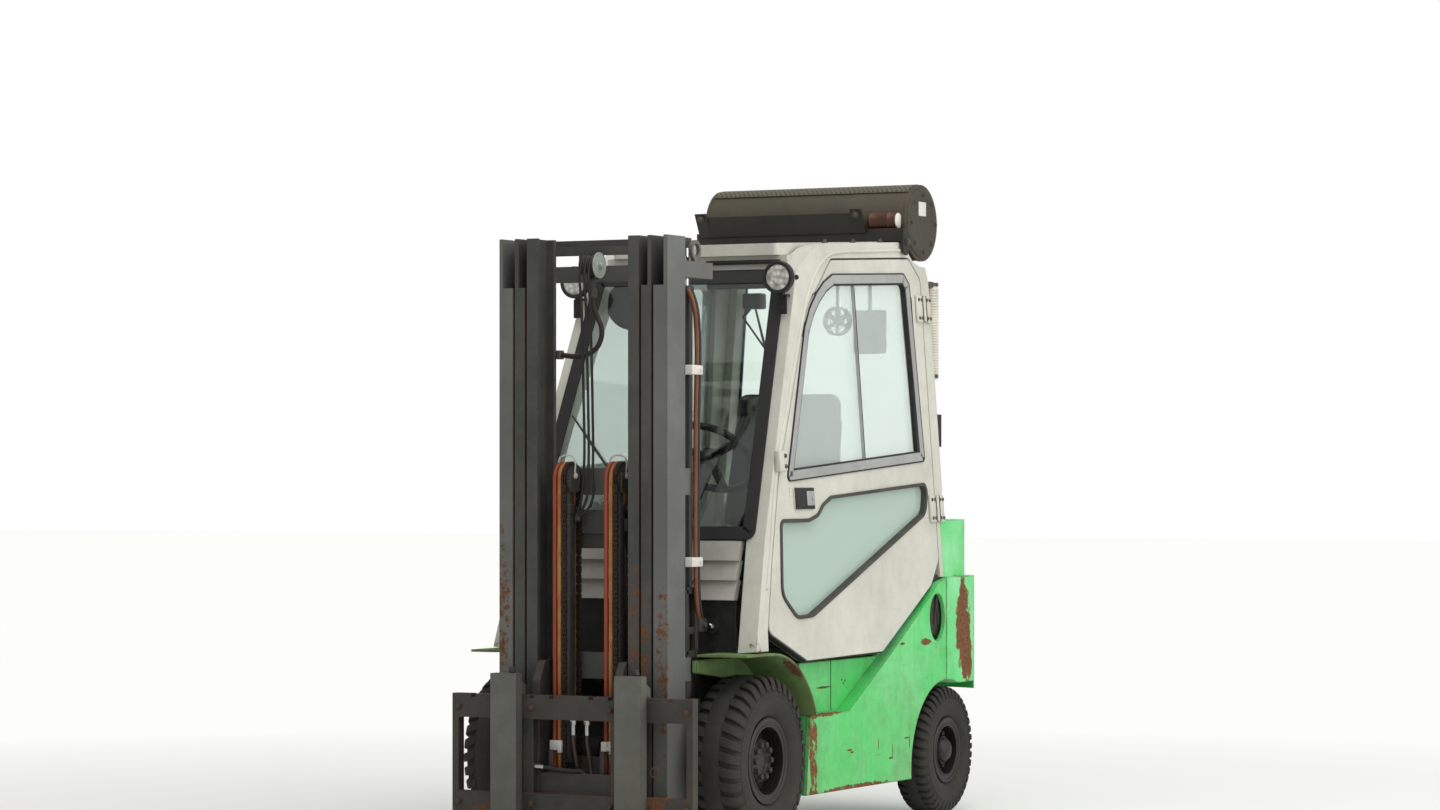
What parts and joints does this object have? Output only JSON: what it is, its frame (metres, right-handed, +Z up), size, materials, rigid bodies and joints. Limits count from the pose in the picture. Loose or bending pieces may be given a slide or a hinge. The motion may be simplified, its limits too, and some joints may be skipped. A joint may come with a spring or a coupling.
{
  "type": "counterbalance forklift",
  "caption": "Counterbalance forklift with a closed steel cab, a telescopic lift mast with fork carriage, a counterweight and a filter drum on its roof.",
  "frame": {"origin": "middle of the truck's length and width, on the floor", "axes": "+X to the truck's left, +Y to its rear, +Z up"},
  "size_m": [1.06, 3.425, 2.3149],
  "materials": {
    "green_paint": "bright green gloss enamel, scratched and rusty at the edges",
    "fender_paint": "green enamel with a rusty rim",
    "cab_paint": "warm light grey enamel with chips",
    "cowl_paint": "grey enamel",
    "frame_black": "satin black chassis paint with dirt",
    "mast_paint": "dark grey paint with rust streaks",
    "fork_steel": "worn grey fork paint",
    "cast_axle": "painted casting",
    "engine_iron": "painted casting",
    "rod_chrome": "hard chrome",
    "chain_steel": "oiled steel",
    "hose_rubber": "orange spiral wrapped hose",
    "duct_plastic": "pale corrugated hose",
    "drum_steel": "heat stained steel",
    "plastic_black": "grained plastic",
    "seat_vinyl": "black vinyl",
    "tinted_glass": "pale green safety glass",
    "lamp_body": "lamp with a clear front",
    "tyre_rubber": "worn industrial tyre with dust",
    "rim_black": "black rim paint"
  },
  "bodies": {
    "chassis": {"chassis_frame": "frame_black", "body_sides": "green_paint", "front_fenders": "fender_paint", "drive_axle": "cast_axle", "steer_axle": "cast_axle", "counterweight": "green_paint", "engine_block": "engine_iron", "engine_hood": "plastic_black", "cab_frame": "cab_paint", "roof": "cab_paint", "front_cowl": "cowl_paint", "cab_glass": "tinted_glass", "dash": "plastic_black", "seat": "seat_vinyl", "lamps": "lamp_body", "exhaust_drum": "drum_steel", "drum_frame": "drum_steel", "air_hose": "duct_plastic"},
    "steering_wheel": {"steering_wheel": "plastic_black"},
    "left_door": {"left_door": "cab_paint", "left_door_glass": "tinted_glass"},
    "right_door": {"right_door": "cab_paint", "right_door_glass": "tinted_glass"},
    "outer_mast": {"outer_mast": "mast_paint", "lift_cylinders": "mast_paint"},
    "mid_mast": {"mid_mast": "mast_paint", "lift_rods": "rod_chrome"},
    "inner_mast": {"inner_mast": "mast_paint", "free_lift_cylinders": "mast_paint"},
    "lift_head": {"lift_head": "mast_paint", "lift_chains": "chain_steel", "mast_hoses": "hose_rubber"},
    "carriage": {"carriage": "mast_paint", "forks": "fork_steel"},
    "tilt_cylinders": {"tilt_cylinders": "frame_black"},
    "tilt_rods": {"tilt_rods": "rod_chrome"},
    "front_left_wheel": {"front_left_tyre": "tyre_rubber", "front_left_rim": "rim_black"},
    "front_right_wheel": {"front_right_tyre": "tyre_rubber", "front_right_rim": "rim_black"},
    "left_knuckle": {"left_knuckle": "cast_axle"},
    "right_knuckle": {"right_knuckle": "cast_axle"},
    "rear_left_wheel": {"rear_left_tyre": "tyre_rubber", "rear_left_rim": "rim_black"},
    "rear_right_wheel": {"rear_right_tyre": "tyre_rubber", "rear_right_rim": "rim_black"}
  },
  "joints": [
    {"name": "mast_tilt", "type": "hinge", "parent": "chassis", "child": "outer_mast", "pos_m": [0, -0.1775, 0.2875], "axis": [1, 0, 0], "range_deg": [-6, 6]},
    {"name": "mast_extend", "type": "slide", "parent": "outer_mast", "child": "mid_mast", "axis": [0, 0, 1], "range_m": [0, 1.25]},
    {"name": "inner_extend", "type": "slide", "parent": "mid_mast", "child": "inner_mast", "axis": [0, 0, 1], "range_m": [0, 1.25]},
    {"name": "free_lift", "type": "slide", "parent": "inner_mast", "child": "lift_head", "axis": [0, 0, 1], "range_m": [0, 0.65], "deforming": ["lift_chains", "mast_hoses"]},
    {"name": "carriage_lift", "type": "slide", "parent": "lift_head", "child": "carriage", "axis": [0, 0, 1], "range_m": [0, 0.65]},
    {"name": "tilt_cylinder_swing", "type": "hinge", "parent": "chassis", "child": "tilt_cylinders", "pos_m": [0, 0.2625, 0.5], "axis": [1, 0, 0], "range_deg": [-2.1, 2.1]},
    {"name": "tilt_rod_slide", "type": "slide", "parent": "tilt_cylinders", "child": "tilt_rods", "axis": [0, -0.9863, 0.1649], "range_m": [-0.03, 0.03]},
    {"name": "front_left_spin", "type": "hinge", "parent": "chassis", "child": "front_left_wheel", "pos_m": [0.435, -0.1775, 0.2875], "axis": [1, 0, 0], "continuous": true},
    {"name": "front_right_spin", "type": "hinge", "parent": "chassis", "child": "front_right_wheel", "pos_m": [-0.435, -0.1775, 0.2875], "axis": [1, 0, 0], "continuous": true},
    {"name": "left_steer", "type": "hinge", "parent": "chassis", "child": "left_knuckle", "pos_m": [0.335, 1.2925, 0.235], "axis": [0, 0, 1], "range_deg": [-65, 65]},
    {"name": "right_steer", "type": "hinge", "parent": "chassis", "child": "right_knuckle", "pos_m": [-0.335, 1.2925, 0.235], "axis": [0, 0, 1], "range_deg": [-65, 65]},
    {"name": "rear_left_spin", "type": "hinge", "parent": "left_knuckle", "child": "rear_left_wheel", "pos_m": [0.452, 1.2925, 0.235], "axis": [1, 0, 0], "continuous": true},
    {"name": "rear_right_spin", "type": "hinge", "parent": "right_knuckle", "child": "rear_right_wheel", "pos_m": [-0.452, 1.2925, 0.235], "axis": [1, 0, 0], "continuous": true},
    {"name": "left_door_swing", "type": "hinge", "parent": "chassis", "child": "left_door", "pos_m": [0.51298, 1.2625, 0.70059], "axis": [-0.0732, 0, 0.9973], "range_deg": [0, 95]},
    {"name": "right_door_swing", "type": "hinge", "parent": "chassis", "child": "right_door", "pos_m": [-0.51298, 1.2625, 0.70059], "axis": [-0.0732, 0, -0.9973], "range_deg": [0, 95]},
    {"name": "steering_wheel_spin", "type": "hinge", "parent": "chassis", "child": "steering_wheel", "pos_m": [0, 0.37258, 1.3068], "axis": [0, 0.682, 0.7314], "continuous": true}
  ],
  "couplings": [
    {"joint": "inner_extend", "follows": "mast_extend", "ratio": 1},
    {"joint": "carriage_lift", "follows": "free_lift", "ratio": 1},
    {"joint": "tilt_cylinder_swing", "follows": "mast_tilt", "ratio": 0.342},
    {"joint": "tilt_rod_slide", "follows": "mast_tilt", "m_per_rad": 0.2817},
    {"joint": "right_steer", "follows": "left_steer", "ratio": 1}
  ]
}
